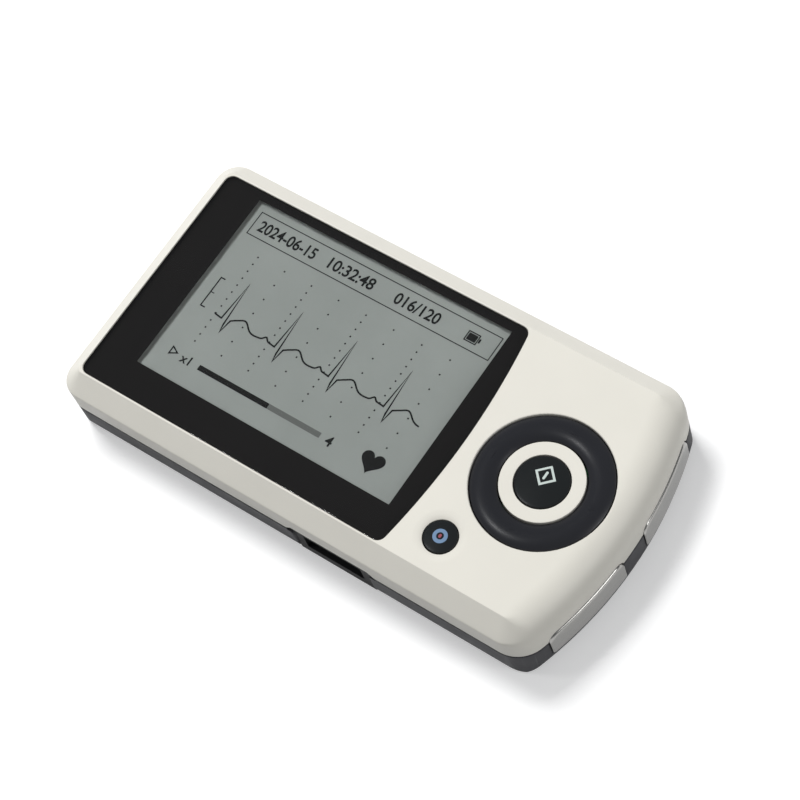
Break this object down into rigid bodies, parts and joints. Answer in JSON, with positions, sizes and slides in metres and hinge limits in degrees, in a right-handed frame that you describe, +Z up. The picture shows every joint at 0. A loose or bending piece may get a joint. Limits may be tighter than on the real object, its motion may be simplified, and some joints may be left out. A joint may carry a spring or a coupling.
{
  "type": "handheld heart rhythm monitor",
  "caption": "Pocket home ECG monitor: bevelled two-shell case, display window, rocker ring with start button, power button, finger and palm electrodes, sliding battery door.",
  "frame": {"origin": "centre of the underside, on the surface the monitor lies on", "axes": "+X along the case towards the button end, +Y across it away from the lead socket, +Z up through the display"},
  "size_m": [0.1198, 0.061, 0.0186],
  "materials": {
    "white_shell": "fine satin moulded plastic, warm white",
    "grey_shell": "fine spark-eroded texture, dark grey",
    "grey_door": "fine spark-eroded texture, dark grey",
    "clear_lens": "clear polished acrylic",
    "black_print": "black printed film",
    "black_tape": "black foam adhesive tape",
    "lcd": "grey-green reflective display glass",
    "light_guide": "milky acrylic",
    "holder": "off-white moulded plastic",
    "flex": "amber polyimide film",
    "connector": "ivory moulded plastic",
    "board": "green solder mask",
    "chip": "black epoxy",
    "shield": "tin-plated sheet",
    "dome": "stainless snap dome",
    "web_rubber": "matte silicone rubber",
    "ring_black": "satin blue-black plastic",
    "button_black": "satin black plastic with printed marks",
    "electrode_steel": "fine brushed stainless steel",
    "spring_bronze": "gold-plated phosphor bronze",
    "socket_black": "black glass-filled nylon",
    "contact_gold": "gold-plated contact",
    "cell_jacket": "shrink sleeve over steel can",
    "contact_nickel": "nickel-plated spring steel",
    "buzzer_black": "black moulded sounder",
    "screw_steel": "zinc-plated steel"
  },
  "bodies": {
    "housing": {"top_cover": "white_shell", "rear_cover": "grey_shell", "display_lens": "clear_lens", "lens_mask": "black_print", "lens_tape": "black_tape", "lcd_glass": "lcd", "light_guide": "light_guide", "lcd_holder": "holder", "lcd_flex": "flex", "flex_connector": "connector", "main_board": "board", "processor_chip": "chip", "memory_chip": "chip", "amplifier_shield": "shield", "snap_domes": "dome", "ring_hub": "white_shell", "finger_electrode": "electrode_steel", "thumb_electrode": "electrode_steel", "palm_electrode": "electrode_steel", "electrode_springs": "spring_bronze", "lead_socket": "socket_black", "socket_contacts": "contact_gold", "battery_cell_a": "cell_jacket", "battery_cell_b": "cell_jacket", "cell_link": "contact_nickel", "cell_contact_plus": "contact_nickel", "cell_contact_minus": "contact_nickel", "buzzer": "buzzer_black", "housing_screws": "screw_steel", "board_screws": "screw_steel"},
    "web": {"ring_web": "web_rubber"},
    "ring": {"nav_ring": "ring_black"},
    "start": {"start_button": "button_black"},
    "power": {"power_button": "button_black"},
    "door": {"battery_door": "grey_door"}
  },
  "joints": [
    {"name": "ring_up_down", "type": "hinge", "parent": "housing", "child": "web", "pos_m": [0.0403, 0, 0.01437], "axis": [1, 0, 0], "range_deg": [-1.5, 1.5], "stiffness_Nm_per_rad": 0.6},
    {"name": "ring_left_right", "type": "hinge", "parent": "web", "child": "ring", "pos_m": [0.0403, 0, 0.01497], "axis": [0, 1, 0], "range_deg": [-1.5, 1.5], "stiffness_Nm_per_rad": 0.6},
    {"name": "start_press", "type": "slide", "parent": "housing", "child": "start", "axis": [0, 0, -1], "range_m": [0, 0.0004], "stiffness_N_per_m": 4000, "springref_m": -0.00005},
    {"name": "power_press", "type": "slide", "parent": "housing", "child": "power", "axis": [0, 0, -1], "range_m": [0, 0.0004], "stiffness_N_per_m": 4000, "springref_m": -0.00005},
    {"name": "door_slide", "type": "slide", "parent": "housing", "child": "door", "axis": [1, 0, 0], "range_m": [0, 0.038]}
  ]
}
